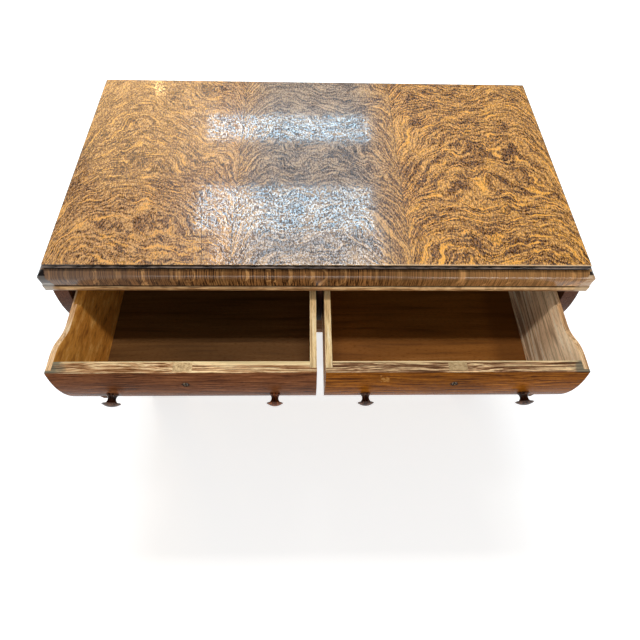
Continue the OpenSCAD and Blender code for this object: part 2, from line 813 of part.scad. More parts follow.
// What is cut away above the ogee edge of the leaning side, in (y, z)
module ogee_waste() {
    half = ogee_len / 2;
    drop = outer_side_drop / 2;
    arc_r = (half * half + drop * drop) / (2 * drop);
    start_y = front_in_y + shoulder_len;
    end_y = start_y + ogee_len;
    low_z = front_top_z - outer_side_drop;
    translate([end_y, low_z]) square([drawer_back_y - end_y + past, outer_side_drop + past]);
    intersection() {
        translate([start_y, front_top_z - drop]) square([half, drop + past]);
        difference() {
            translate([start_y, low_z]) square([ogee_len, outer_side_drop + past]);
            translate([start_y, front_top_z - arc_r]) circle(arc_r, $fn = fine);
        }
    }
    intersection() {
        translate([start_y + half, low_z]) square([half, outer_side_drop + past]);
        union() {
            translate([end_y, low_z + arc_r]) circle(arc_r, $fn = fine);
            translate([start_y + half, front_top_z - drop]) square([half, drop + past]);
        }
    }
}

// What the bevel takes off the inner edge of the leaning side
module bevel_waste() {
    start_y = front_in_y + shoulder_len + ogee_len + bevel_from;
    high_z = front_top_z - outer_side_drop;
    low_z = high_z - bevel_h;
    land_x = lean_x(high_z) - bevel_land;
    translate([0, start_y, 0])
        along_y(drawer_back_y - drawer_back_t - bevel_stop - start_y) polygon([
            [land_x, high_z + past], [land_x, high_z], [lean_in_x(low_z), low_z],
            [lean_in_x(low_z) - past, low_z], [lean_in_x(low_z) - past, high_z + past]
        ]);
}

module drawer_outer_side(side) {
    color("burlywood") opened() on_side(side) difference() {
        translate([0, front_in_y - outer_lap, 0])
            along_y(drawer_back_y - front_in_y + outer_lap) lean_section(0, 0);
        translate([lean_in_x(floor_z), 0, 0]) along_x(front_end_x) ogee_waste();
        bevel_waste();
        floor_groove();
        back_room(seat_gap, past);
    }
}

// The space that a drawer back takes, grown by a gap, and run back by an overlap
module back_room(gap, over) {
    low_z = floor_z - gap;
    high_z = front_top_z - drawer_back_drop + gap;
    lap = back_lap + gap;
    translate([0, drawer_back_y - drawer_back_t - gap, 0])
        along_y(drawer_back_t + gap + over) polygon([
            [inner_wall_x - lap, low_z], [lean_in_x(low_z) + lap, low_z],
            [lean_in_x(high_z) + lap, high_z], [inner_wall_x - lap, high_z]
        ]);
}

module drawer_back(side) {
    color("burlywood") opened() on_side(side) back_room(0, 0);
}

// Half section of a knob: x is the radius, y runs outwards from the drawer front
module knob_section(ratio) {
    head_r = knob_head_r * ratio;
    foot_r = knob_foot_r * ratio;
    thin_r = neck_r * ratio;
    edge_y = knob_len - crown_h;
    hollow_y = hollow_height(foot_r - thin_r, head_r - thin_r, knob_foot_t, edge_y - head_edge_t);
    hollow_r = (pow(foot_r - thin_r, 2) + pow(hollow_y - knob_foot_t, 2)) / (2 * (foot_r - thin_r));
    crown_r = crown_radius(ratio);
    difference() {
        union() {
            square([foot_r, hollow_y]);
            translate([0, hollow_y]) square([head_r, edge_y - hollow_y]);
        }
        translate([thin_r + hollow_r, hollow_y]) circle(hollow_r);
    }
    intersection() {
        translate([0, knob_len - crown_r]) circle(crown_r);
        translate([0, edge_y - head_edge_t / 2]) square([head_r - crown_in, knob_len]);
    }
    translate([0, -shank_len]) square([shank_r, shank_len + knob_foot_t]);
}

module knob(side, x, ratio) {
    color("maroon") opened() on_side(side) on_swell(x) rotate_extrude() knob_section(ratio);
}

// A mortise lock: a brass plate let into the top edge, over a case with a bolt room
module lock(side) {
    room_w = bolt_w + 2 * run_gap;
    room_t = bolt_t + 2 * run_gap;
    color("goldenrod") opened() on_side(side) difference() {
        lock_room(0, 0);
        translate([front_mid_x - room_w / 2, lock_y - room_t / 2, bolt_low_z - run_gap])
            cube([room_w, room_t, bolt_len + past]);
        translate([front_mid_x, lock_y - lock_d, keyhole_z])
            along_y(lock_d) keyhole_outline(0);
        plate_screw_places() translate([0, 0, -plate_t - past]) {
            cylinder(r = plate_screw_r + seat_gap, h = plate_t + 2 * past);
            translate([0, 0, past])
                cylinder(
                    r1 = plate_screw_r + seat_gap, r2 = plate_screw_head_r + 2 * seat_gap,
                    h = plate_t + seat_gap
                );
        }
    }
}

// Two slotted countersunk screws that hold the lock plate to the drawer front
module lock_screws(side) {
    slot_w = 0.6;
    sink = plate_screw_head_r - plate_screw_r;
    color("khaki") opened() on_side(side) plate_screw_places() difference() {
        union() {
            translate([0, 0, -plate_screw_len]) cylinder(r = plate_screw_r, h = plate_screw_len);
            translate([0, 0, -sink]) cylinder(r1 = plate_screw_r, r2 = plate_screw_head_r, h = sink);
        }
        translate([-plate_screw_head_r, -slot_w / 2, -slot_w])
            cube([2 * plate_screw_head_r, slot_w, slot_w + past]);
    }
}

module keyhole_liner(side) {
    color("goldenrod") opened() on_side(side)
        translate([front_mid_x, swell_y + swell_sag(keyhole_z) + 2 * seat_gap, keyhole_z])
            along_y(liner_d) difference() {
                keyhole_outline(liner_wall);
                keyhole_outline(0);
            }
}

// The bolt has a hollow in its lower edge, where the key lifts it
module lock_bolt(side) {
    color("khaki") opened() on_side(side) difference() {
        translate([front_mid_x - bolt_w / 2, lock_y - bolt_t / 2, bolt_low_z])
            cube([bolt_w, bolt_t, bolt_len]);
        translate([front_mid_x, lock_y - bolt_t, bolt_low_z])
            along_y(2 * bolt_t) circle(bolt_hollow_r);
    }
}

// Moves the finished table so that the middle of its reach lies over the origin
module placed() {
    translate([0, shift_y, 0]) children();
}

placed() veneer(0);  // veneer_left
placed() veneer(1);  // veneer_centre
placed() veneer(2);  // veneer_right
placed() top_core();
placed() frame_long(front);  // frame_front
placed() frame_long(back);  // frame_back
placed() frame_short(left);  // frame_left
placed() frame_short(right);  // frame_right
placed() bead_long(front);  // bead_front
placed() bead_long(back);  // bead_back
placed() bead_short(left);  // bead_left
placed() bead_short(right);  // bead_right
placed() end_panel(left);  // end_panel_left
placed() end_panel(right);  // end_panel_right
placed() back_apron();
placed() centre_divider();
placed() front_rail();
placed() back_rail();
placed() runner_outer(left);  // runner_left
placed() runner_centre();
placed() runner_outer(right);  // runner_right
placed() guide(left);  // guide_left
placed() guide(right);  // guide_right
placed() kicker(left);  // kicker_left
placed() kicker(right);  // kicker_right
placed() drawer_stop(left);  // drawer_stop_left
placed() drawer_stop(right);  // drawer_stop_right
placed() bearer(left);  // bearer_left
placed() bearer(right);  // bearer_right
placed() bearer_screws();
placed() leg(left, front);  // leg_front_left
placed() leg(right, front);  // leg_front_right
placed() leg(left, back);  // leg_back_left
placed() leg(right, back);  // leg_back_right
placed() foot_block(left);  // foot_block_left
placed() foot_block(right);  // foot_block_right
placed() shelf();
placed() drawer_front(left);  // drawer_front_left
placed() drawer_outer_side(left);  // drawer_outer_side_left
placed() drawer_inner_side(left);  // drawer_inner_side_left
placed() drawer_back(left);  // drawer_back_left
placed() drawer_bottom(left);  // drawer_bottom_left
placed() knob(left, outer_knob_x, outer_knob_ratio);  // knob_outer_left
placed() knob(left, inner_knob_x, 1);  // knob_inner_left
placed() lock(left);  // lock_left
placed() lock_screws(left);  // lock_screws_left
placed() keyhole_liner(left);  // keyhole_liner_left
placed() lock_bolt(left);  // lock_bolt_left
placed() drawer_front(right);  // drawer_front_right
placed() drawer_outer_side(right);  // drawer_outer_side_right
placed() drawer_inner_side(right);  // drawer_inner_side_right
placed() drawer_back(right);  // drawer_back_right
placed() drawer_bottom(right);  // drawer_bottom_right
placed() knob(right, outer_knob_x, outer_knob_ratio);  // knob_outer_right
placed() knob(right, inner_knob_x, 1);  // knob_inner_right
placed() lock(right);  // lock_right
placed() lock_screws(right);  // lock_screws_right
placed() keyhole_liner(right);  // keyhole_liner_right
placed() lock_bolt(right);  // lock_bolt_right
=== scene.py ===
"""Looks of an oak writing table with two open drawers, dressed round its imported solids. Metres, +Z up."""
import bpy
import numpy as np
from mathutils import Matrix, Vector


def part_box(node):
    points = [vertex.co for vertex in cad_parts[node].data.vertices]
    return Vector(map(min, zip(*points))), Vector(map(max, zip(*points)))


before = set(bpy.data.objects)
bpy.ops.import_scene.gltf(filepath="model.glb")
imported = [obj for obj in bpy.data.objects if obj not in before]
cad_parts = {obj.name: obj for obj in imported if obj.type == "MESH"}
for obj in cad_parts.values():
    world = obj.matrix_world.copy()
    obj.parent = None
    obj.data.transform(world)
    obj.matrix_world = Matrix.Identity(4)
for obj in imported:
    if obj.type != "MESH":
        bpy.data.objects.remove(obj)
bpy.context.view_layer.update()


# The camera
# A hand-held view from above the front of the table. Its place, tilt and lens were fitted to the
# outline of the top, the mouldings and the drawer fronts, in a square picture.
CAMERA_PLACE = (-0.029, -0.8126, 1.554)
CAMERA_PITCH = np.radians(58.93)
CAMERA_YAW = np.radians(-3.06)
CAMERA_ROLL = np.radians(-2.62)
PICTURE_PX = 640
FOCAL_PX = 481
SENSOR_MM = 36


def stood_at(place, right, up, back):
    """The matrix of an object at a place, whose own three axes point right, up and back as given."""
    axes = np.eye(4)
    axes[:3, 0] = right
    axes[:3, 1] = up
    axes[:3, 2] = back
    axes[:3, 3] = place
    return Matrix(axes.tolist())


plumb = np.array([0, 0, 1])
ahead_level = np.array([-np.sin(CAMERA_YAW), np.cos(CAMERA_YAW), 0])
right_level = np.array([np.cos(CAMERA_YAW), np.sin(CAMERA_YAW), 0])
ahead = ahead_level * np.cos(CAMERA_PITCH) - plumb * np.sin(CAMERA_PITCH)
down = -ahead_level * np.sin(CAMERA_PITCH) - plumb * np.cos(CAMERA_PITCH)
camera_right = right_level * np.cos(CAMERA_ROLL) + down * np.sin(CAMERA_ROLL)
camera_down = down * np.cos(CAMERA_ROLL) - right_level * np.sin(CAMERA_ROLL)
camera_data = bpy.data.cameras.new("view_over_the_drawers")
camera_data.sensor_width = SENSOR_MM
camera_data.lens = SENSOR_MM * FOCAL_PX / PICTURE_PX
camera = bpy.data.objects.new("view_over_the_drawers", camera_data)
camera.matrix_world = stood_at(CAMERA_PLACE, camera_right, -camera_down, -ahead)
bpy.context.scene.collection.objects.link(camera)
bpy.context.scene.camera = camera
bpy.context.scene.view_settings.view_transform = "Standard"


# The floor and the light
# A pale floor that runs on into a pale horizon. One soft lamp hangs just behind the table and two
# shine from the front. The windows, the bulb and its shade hang where the varnish mirrors them.
class Nodes:
    """Adds shader nodes to one tree. All but node and feed give back outputs of what they add."""

    def __init__(self, tree):
        self.tree = tree

    def node(self, kind, inputs=None, **settings):
        """A node of a kind, with its settings and its inputs: values or other nodes' outputs."""
        made = self.tree.nodes.new("ShaderNode" + kind)
        for name, value in settings.items():
            setattr(made, name, value)
        for key, value in (inputs or {}).items():
            self.feed(made.inputs[key], value)
        return made

    def feed(self, socket, value):
        """Links an output to a socket, or sets the socket's value; a colour is red, green and blue."""
        if isinstance(value, bpy.types.NodeSocket):
            self.tree.links.new(value, socket)
        elif socket.type == "RGBA":
            socket.default_value = (*value, 1)
        else:
            socket.default_value = value

    def add(self, kind, inputs=None, out=0, **settings):
        return self.node(kind, inputs, **settings).outputs[out]

    def maths(self, operation, a, b=0.0):
        return self.add("Math", {0: a, 1: b}, operation=operation)

    def sum(self, a, b):
        return self.maths("ADD", a, b)

    def less(self, a, b):
        return self.maths("SUBTRACT", a, b)

    def times(self, a, b):
        return self.maths("MULTIPLY", a, b)

    def over(self, a, b):
        return self.maths("DIVIDE", a, b)

    def most(self, a, b):
        return self.maths("MAXIMUM", a, b)

    def size(self, a):
        return self.maths("ABSOLUTE", a)

    def rise(self, value, low, high, to_low=0.0, to_high=1.0):
        """A smooth step from to_low at low to to_high at high."""
        return self.add("MapRange", {"Value": value, "From Min": low, "From Max": high,
                                     "To Min": to_low, "To Max": to_high},
                        interpolation_type="SMOOTHSTEP")

    def place(self):
        """The point on the surface, in the table's own metres."""
        return self.add("TexCoord", out="Object")

    def facing_up(self):
        """1 where the surface faces straight up, 0 where it is upright and -1 where it faces down."""
        return self.parts(self.add("NewGeometry", out="Normal"))[2]

    def parts(self, vector):
        return tuple(self.node("SeparateXYZ", {0: vector}).outputs)

    def join(self, x, y, z):
        return self.add("CombineXYZ", {0: x, 1: y, 2: z})

    def stretch(self, vector, factors):
        return self.add("VectorMath", {0: vector, 1: factors}, operation="MULTIPLY")

    def shift(self, vector, by):
        return self.add("VectorMath", {0: vector, 1: by}, operation="ADD")

    def noise(self, vector, scale=1.0, detail=2.0, roughness=0.5, distortion=0.0):
        """Noise round 0.5. Its scale, or a stretch before it, says how many waves a metre has."""
        return self.add("TexNoise", {"Vector": vector, "Scale": scale, "Detail": detail,
                                     "Roughness": roughness, "Distortion": distortion})

    def ripple(self, vector, factors):
        """Plain noise round 0 on a stretched vector."""
        return self.less(self.noise(self.stretch(vector, factors), detail=1.0), 0.5)

    def fray(self, distance, vector, scale, by):
        """A distance made uneven by noise, by up to half of by each way."""
        return self.sum(distance, self.times(self.less(self.noise(vector, scale), 0.5), by))

    def blend(self, share, a, b):
        """Colour a turned into colour b by a share."""
        return self.add("Mix", {0: share, 6: a, 7: b}, out=2, data_type="RGBA")


def new_material(name):
    """An empty material and its Nodes."""
    material = bpy.data.materials.new(name)
    material.use_nodes = True
    material.node_tree.nodes.clear()
    return material, Nodes(material.node_tree)


def level_square(name, reach, material):
    """A square on the ground: its four corners lie at plus and minus reach in x and in y."""
    ends = np.array([-reach, reach])
    x, y = np.meshgrid(ends, ends)
    corners = np.stack([x, y, np.zeros_like(x)], -1).reshape(-1, 3)
    mesh = bpy.data.meshes.new(name)
    mesh.from_pydata(corners.tolist(), [], [(0, 1, 3, 2)])
    mesh.materials.append(material)
    square = bpy.data.objects.new(name, mesh)
    bpy.context.scene.collection.objects.link(square)
    return square


STRAIGHT_DOWN = 0.999


def hang_lamp(name, place, aim, width, depth, watts, colour):
    """A rectangular lamp at a place, turned to face an aim, its width level."""
    data = bpy.data.lights.new(name, "AREA")
    data.shape = "RECTANGLE"
    data.size = width
    data.size_y = depth
    data.energy = watts
    data.color = colour
    lamp = bpy.data.objects.new(name, data)
    back = np.subtract(place, aim) / np.linalg.norm(np.subtract(place, aim))
    level = np.cross([0, 1, 0] if back[2] > STRAIGHT_DOWN else plumb, back)
    level /= np.linalg.norm(level)
    lamp.matrix_world = stood_at(place, level, np.cross(back, level), back)
    lamp.visible_camera = False
    bpy.context.scene.collection.objects.link(lamp)


WHITE = (1, 1, 1)
FLOOR_REACH = 14.0
FLOOR_GREY = (0.8, 0.8, 0.8)
FLOOR_GLOW = 0.60
floor_look, n = new_material("pale_floor")
rays = n.node("LightPath").outputs
seen = n.most(n.most(rays["Is Camera Ray"], rays["Is Glossy Ray"]), rays["Is Transmission Ray"])
lit = n.add("BsdfDiffuse", {"Color": FLOOR_GREY})
glow = n.add("Emission", {"Color": WHITE, "Strength": n.times(seen, FLOOR_GLOW)})
n.node("OutputMaterial", {"Surface": n.add("AddShader", {0: lit, 1: glow})})
level_square("floor", FLOOR_REACH, floor_look)

# The world is bright up to one height and dim from another, as heights on a sphere of radius 1.
HORIZON_LIGHT = 0.62
CEILING_LIGHT = 0.17
HORIZON_HEIGHT = 0.3
CEILING_HEIGHT = 0.5
world = bpy.data.worlds.new("studio")
bpy.context.scene.world = world
world.use_nodes = True
world.node_tree.nodes.clear()
n = Nodes(world.node_tree)
height = n.parts(n.add("TexCoord", out="Generated"))[2]
brightness = n.rise(height, HORIZON_HEIGHT, CEILING_HEIGHT, HORIZON_LIGHT, CEILING_LIGHT)
n.node("OutputWorld", {"Surface": n.add("Background", {"Color": WHITE, "Strength": brightness})})

COOL = (0.50, 0.78, 1.0)
PALE = (0.80, 0.90, 1.0)
WARM = (1.0, 0.66, 0.28)
NEUTRAL = (1.0, 0.965, 0.92)
BACK_LEFT_OF_TOP = (-0.42, 0.38, 0.76)

# For each lamp: its name, its place, what it faces, its width, depth and watts, and its colour.
hang_lamp("overhead", (-0.1, 0.60, 3.1), (-0.1, 0.40, 0), 1.6, 0.25, 33, NEUTRAL)
hang_lamp("front_fill", (-0.5, -4.6, 2.3), (0, -0.2, 0.7), 3.0, 1.6, 62, NEUTRAL)
hang_lamp("doorway", (2.6, -5.2, 1.5), (0.4, -0.22, 0.74), 2.2, 0.17, 58, NEUTRAL)
hang_lamp("near_window", (-0.21, 2.12, 3.0), (-0.21, 2.12, 0), 1.5, 0.52, 45, COOL)
hang_lamp("far_window", (-0.2, 3.18, 3.0), (-0.2, 3.18, 0), 1.55, 0.36, 34, COOL)
hang_lamp("low_window", (-0.1, 1.66, 3.0), (-0.1, 1.66, 0), 1.4, 0.46, 19, PALE)
hang_lamp("window_wall", (-0.2, 2.6, 3.05), (-0.2, 2.6, 0), 2.1, 2.3, 12, COOL)
hang_lamp("bulb", (-1.53, 3.78, 3.0), BACK_LEFT_OF_TOP, 0.1, 0.1, 0.8, WARM)
hang_lamp("bulb_shade", (-1.6, 3.4, 3.05), BACK_LEFT_OF_TOP, 1.4, 1.2, 24, WARM)


# The base
# Scroll legs sawn from thick oak stand on foot blocks, and a shaped shelf lies across the blocks.
# All are stained brown and varnished. Steel screws hold the bearers above the legs to the case.
def new_group(name, inputs, outputs):
    """A shader node group; inputs are name, kind and starting value, outputs are name and kind."""
    tree = bpy.data.node_groups.new(name, "ShaderNodeTree")
    for label, kind, value in inputs:
        socket = tree.interface.new_socket(label, in_out="INPUT", socket_type="NodeSocket" + kind)
        if value is not None:
            socket.default_value = value
    for label, kind in outputs:
        tree.interface.new_socket(label, in_out="OUTPUT", socket_type="NodeSocket" + kind)
    given = tree.nodes.new("NodeGroupInput").outputs
    asked = tree.nodes.new("NodeGroupOutput").inputs
    return tree, Nodes(tree), given, asked


def use_group(n, tree, **values):
    """Places a group; values are its inputs by name, with a space written as an underline."""
    made = n.node("Group", node_tree=tree)
    for label, value in values.items():
        n.feed(made.inputs[label.replace("_", " ")], value)
    return made.outputs


# Pores are short dark dashes along the grain. Both oak groups take a vector whose y runs along it.
pores, n, given, asked = new_group(
    "oak pores",
    [("Vector", "Vector", None), ("Pore Width", "Float", 0.0016), ("Pore Length", "Float", 0.012)],
    [("Pores", "Float")])
across = n.over(1.0, given["Pore Width"])
along = n.over(1.0, given["Pore Length"])
dashes = n.noise(n.stretch(given["Vector"], n.join(across, along, across)), detail=1.0)
n.feed(asked["Pores"], n.rise(dashes, 0.54, 0.68))

# Board oak has streaks of three shades along the grain, which wander a little to the side, darker
# patches, and pores.
STREAK_WANDER = 0.03
board_oak, n, given, asked = new_group(
    "board oak",
    [("Vector", "Vector", None), ("Dark", "Color", None), ("Mid", "Color", None), ("Light", "Color", None),
     ("Streak Width", "Float", 0.004), ("Streak Length", "Float", 0.25), ("Contrast", "Float", 1.0)],
    [("Color", "Color"), ("Height", "Float"), ("Pores", "Float")])
across = n.over(1.0, given["Streak Width"])
along = n.over(1.0, given["Streak Length"])
wander = n.times(n.noise(n.stretch(given["Vector"], (9, 2.2, 9))), STREAK_WANDER)
drifted = n.shift(given["Vector"], n.join(wander, 0.0, wander))
rings = n.noise(n.stretch(drifted, n.join(across, along, across)), detail=3.0, roughness=0.62)
patches = n.noise(n.stretch(given["Vector"], (14, 3, 14)))
holes = use_group(n, pores, Vector=given["Vector"], Pore_Width=0.0011, Pore_Length=0.011)["Pores"]
shade = n.sum(0.5, n.times(n.less(rings, 0.5), n.times(given["Contrast"], 2.2)))
colour = n.blend(n.rise(shade, 0.0, 0.55), given["Dark"], given["Mid"])
colour = n.blend(n.rise(shade, 0.5, 1.15), colour, given["Light"])
colour = n.blend(n.rise(patches, 0.35, 0.65, 0.30, 0.0), colour, given["Dark"])
colour = n.blend(n.times(holes, 0.5), colour, given["Dark"])
n.feed(asked["Color"], colour)
n.feed(asked["Height"], n.less(n.times(rings, 0.5), holes))
n.feed(asked["Pores"], holes)


def oak_grain(n, vector, shades, width=0.004, length=0.25, contrast=1.0):
    """Board oak in a dark, a middle and a light shade, with streaks of a width and a length."""
    dark, mid, light = shades
    return use_group(n, board_oak, Vector=vector, Dark=dark, Mid=mid, Light=light,
                     Streak_Width=width, Streak_Length=length, Contrast=contrast)


GRAIN_DEPTH = 0.0004


def lay_finish(n, colour, roughness, height=None, strength=0.3, depth=GRAIN_DEPTH, **sockets):
    """Ends a material: its colour, roughness and relief, and other sockets with underlines for spaces."""
    inputs = {"Base Color": colour, "Roughness": roughness}
    for label, value in sockets.items():
        inputs[label.replace("_", " ")] = value
    if height is not None:
        inputs["Normal"] = n.add("Bump", {"Strength": strength, "Distance": depth, "Height": height})
    n.node("OutputMaterial", {"Surface": n.add("BsdfPrincipled", inputs)})


ALONG_X = 0
ALONG_Y = 1
ALONG_Z = 2
PORE_ROUGHNESS = 0.2
SHADOW_FADE = 0.04


def plain_look(name, axis, shades, roughness, specular=0.1, shadowed_from=None, **streaks):
    """Oak with its grain along an axis, darkened as a painted shadow from shadowed_from in x onwards."""
    look, n = new_material(name)
    xyz = n.parts(n.place())
    turned = n.join(xyz[(axis + 1) % 3], xyz[axis], xyz[(axis + 2) % 3])
    grain = oak_grain(n, turned, shades, **streaks)
    colour = grain["Color"]
    if shadowed_from is not None:
        # Past that x the colour darkens: a painted shadow.
        painted_shadow = n.rise(xyz[0], shadowed_from, shadowed_from + SHADOW_FADE, 0.0, 0.6)
        colour = n.blend(painted_shadow, colour, shades[0])
    rough = n.rise(grain["Pores"], 0.0, 1.0, roughness, roughness + PORE_ROUGHNESS)
    lay_finish(n, colour, rough, grain["Height"], Specular_IOR_Level=specular)
    return look


def dress(node, look):
    """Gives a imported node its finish."""
    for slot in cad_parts[node].material_slots:
        slot.material = look


SIDES = ("left", "right")
BASE_OAK = ((0.045, 0.018, 0.008), (0.165, 0.072, 0.029), (0.30, 0.15, 0.065))
STEEL_GREY = (0.30, 0.28, 0.26)
STEEL_BROWN = (0.13, 0.09, 0.07)
BASE_ROUGHNESS = 0.28
leg_look = plain_look("leg_oak", ALONG_Z, BASE_OAK, BASE_ROUGHNESS)
block_look = plain_look("foot_block_oak", ALONG_Y, BASE_OAK, BASE_ROUGHNESS)
for side in SIDES:
    for end in ("front", "back"):
        dress(f"leg_{end}_{side}", leg_look)
    dress("foot_block_" + side, block_look)
    dress("bearer_" + side, block_look)
dress("shelf", plain_look("shelf_oak", ALONG_X, BASE_OAK, BASE_ROUGHNESS))

screw_look, n = new_material("dull_steel")
blotch = n.noise(n.place(), 300.0)
colour = n.blend(n.rise(blotch, 0.4, 0.7), STEEL_GREY, STEEL_BROWN)
lay_finish(n, colour, n.rise(blotch, 0.4, 0.7, 0.35, 0.6), Metallic=1.0)
dress("bearer_screws", screw_look)


# The case
# End panels, back apron and divider of red-brown oak, and rails, runners, guides, kickers and stops
# of pale unfinished wood that nobody was meant to see.
CASE_OAK = ((0.035, 0.012, 0.006), (0.115, 0.042, 0.020), (0.20, 0.09, 0.045))
DIVIDER_OAK = ((0.012, 0.005, 0.003), (0.035, 0.013, 0.008), (0.07, 0.03, 0.016))
PALE_WOOD = ((0.16, 0.10, 0.05), (0.32, 0.21, 0.11), (0.44, 0.31, 0.17))
CASE_ROUGHNESS = 0.3
DIVIDER_ROUGHNESS = 0.5
UNFINISHED_ROUGHNESS = 0.7
panel_look = plain_look("end_panel_oak", ALONG_Y, CASE_OAK, CASE_ROUGHNESS)
rail_look = plain_look("rail_wood", ALONG_X, PALE_WOOD, UNFINISHED_ROUGHNESS)
runner_look = plain_look("runner_wood", ALONG_Y, PALE_WOOD, UNFINISHED_ROUGHNESS)
divider_look = plain_look("centre_divider_oak", ALONG_Y, DIVIDER_OAK, DIVIDER_ROUGHNESS, specular=0.02)
dress("centre_divider", divider_look)
dress("back_apron", plain_look("back_apron_oak", ALONG_X, CASE_OAK, CASE_ROUGHNESS))
dress("front_rail", rail_look)
dress("back_rail", rail_look)
dress("runner_centre", runner_look)
for side in SIDES:
    dress("end_panel_" + side, panel_look)
    for part in ("runner_", "guide_", "kicker_", "drawer_stop_"):
        dress(part + side, runner_look)


# The core board
# The board under the veneer shows only as a black stained edge with a small bead worked along it.
# The stain has rubbed brown on the crest of the bead, and the crest is painted paler still as a
# highlight.
EDGE_BLACK = (0.012, 0.008, 0.007)
EDGE_RUB_AND_HIGHLIGHT = (0.30, 0.225, 0.18)
CREST_ABOVE_MIDDLE = 0.0015
CREST_HALF = 0.0032
low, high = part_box("top_core")
edge_look, n = new_material("black_stained_edge")
place = n.place()
from_crest = n.size(n.less(n.parts(place)[2], (low.z + high.z) / 2 + CREST_ABOVE_MIDDLE))
rub_and_glint_noise = n.noise(n.stretch(place, (40, 40, 300)), detail=3.0)
# Crest mark: rubbed brown stain, with a painted highlight on top.
rub_and_highlight = n.times(n.rise(from_crest, 0.0, CREST_HALF, 1.0, 0.0), n.rise(rub_and_glint_noise, 0.35, 0.7))
lay_finish(n, n.blend(rub_and_highlight, EDGE_BLACK, EDGE_RUB_AND_HIGHLIGHT), n.rise(rub_and_glint_noise, 0.3, 0.7, 0.22, 0.4))
dress("top_core", edge_look)


# The veneered top
# Three sheets of quarter-sawn oak, laid side by side with the grain running front to back. The cut
# lays the rays of the wood bare as gold ribbons and ripples that run across the grain.

# The rays follow level lines of a wavy field, which rises along the grain and dips steeply towards
# the two edges of a sheet. Noise drawn out along those lines gives fine lines and broad ribbons,
# which are broadest at the front.
EDGE_DIP = 0.10
DIP_POWER = 5.0
SWIRL_RISE = 0.21
BEND_RISE = 0.062
WIGGLE_RISE = 0.012
TEETH_RISE = 0.0075
LINE_PITCH = 0.0042
LINE_RUN = 0.045
RIBBON_PITCH = 0.0090
RIBBON_RUN = 0.060
BROAD_RIBBON_REACH = 0.28
quarter_figure, n, given, asked = new_group(
    "quarter sawn figure",
    [("Vector", "Vector", None), ("Middle", "Float", 0.0), ("Half Width", "Float", 0.19),
     ("Seed", "Float", 0.0), ("Front", "Float", 0.0)],
    [("Lines", "Float"), ("Ribbons", "Float"), ("Joint", "Float")])
x, y = n.parts(given["Vector"])[:2]
from_middle = n.size(n.over(n.less(x, given["Middle"]), given["Half Width"]))
seeded = n.shift(given["Vector"], n.join(given["Seed"], n.times(given["Seed"], 1.7), 0.0))
swirl = n.times(n.ripple(seeded, (5.5, 4.5, 1)), SWIRL_RISE)
bend = n.times(n.ripple(seeded, (19, 16, 1)), BEND_RISE)
wiggle = n.times(n.ripple(seeded, (75, 55, 1)), WIGGLE_RISE)
teeth = n.times(n.ripple(seeded, (430, 50, 1)), TEETH_RISE)
dip = n.times(n.maths("POWER", from_middle, DIP_POWER), EDGE_DIP)
field = n.sum(n.sum(n.sum(y, dip), n.sum(swirl, bend)), n.sum(wiggle, teeth))
fine = n.join(n.times(field, 1 / LINE_PITCH), n.times(x, 1 / LINE_RUN), given["Seed"])
wide = n.join(n.times(field, 1 / RIBBON_PITCH), n.times(x, 1 / RIBBON_RUN), given["Seed"])
least = n.rise(y, given["Front"], n.sum(given["Front"], BROAD_RIBBON_REACH), 0.575, 0.63)
n.feed(asked["Lines"], n.rise(n.noise(fine, roughness=0.6), 0.43, 0.57))
n.feed(asked["Ribbons"], n.rise(n.less(n.noise(wide, detail=1.0), least), 0.0, 0.03))
n.feed(asked["Joint"], n.rise(from_middle, 0.9945, 0.998))

# Four shades for each sheet, from its dark lines to its gold ribbons.
VENEER_OAK = {
    "left": ((0.050, 0.016, 0.003), (0.305, 0.132, 0.040), (0.67, 0.350, 0.120), (0.80, 0.38, 0.09)),
    "centre": ((0.049, 0.015, 0.003), (0.315, 0.137, 0.037), (0.70, 0.370, 0.110), (0.84, 0.40, 0.08)),
    "right": ((0.048, 0.014, 0.002), (0.335, 0.142, 0.033), (0.78, 0.390, 0.100), (0.92, 0.42, 0.07))}
VENEER_SEED = {"left": 3.1, "centre": 10.4, "right": 17.7}
JOINT_DARK = (0.03, 0.014, 0.006)

# Fine cracks run with the grain and one slants across it; each is start x, start y, end x, end y.
CRACK_HALF = 0.0012
CRACKS = {
    "left": [(-0.2453, -0.1968, -0.2601, -0.064)],
    "centre": [(0.0781, -0.1445, 0.0820, -0.0731), (-0.0155, 0.270, 0.0142, 0.2041),
               (-0.1860, -0.19, -0.1880, -0.12), (0.1480, -0.19, 0.1500, -0.10)],
    "right": []}

# The varnish has greyed along a line from front to back, fully within the first distance from it
# and no more at the second.
GREY_LINE_X = -0.01
GREY_REACH = (0.09, 0.20)
GREY_FADES = 0.27
GREY_DARKENS = 0.36

# The front arris is rubbed pale, the more so to the right.
ARRIS_PALE = (0.74, 0.50, 0.28)
ARRIS_WIDTH = 0.003
ARRIS_SPAN = (-0.2, 0.3)
VENEER_RELIEF = 0.0001


def crack_mask(n, x, y, start_x, start_y, end_x, end_y):
    """How cracked a point is: most on the line from start to end, nothing beside it or past its ends."""
    slope = (end_x - start_x) / (end_y - start_y)
    off_line = n.size(n.less(n.less(x, start_x), n.times(n.less(y, start_y), slope)))
    past_end = n.less(n.size(n.less(y, (start_y + end_y) / 2)), abs(end_y - start_y) / 2)
    return n.rise(n.most(off_line, past_end), CRACK_HALF / 2, CRACK_HALF, 0.75, 0.0)


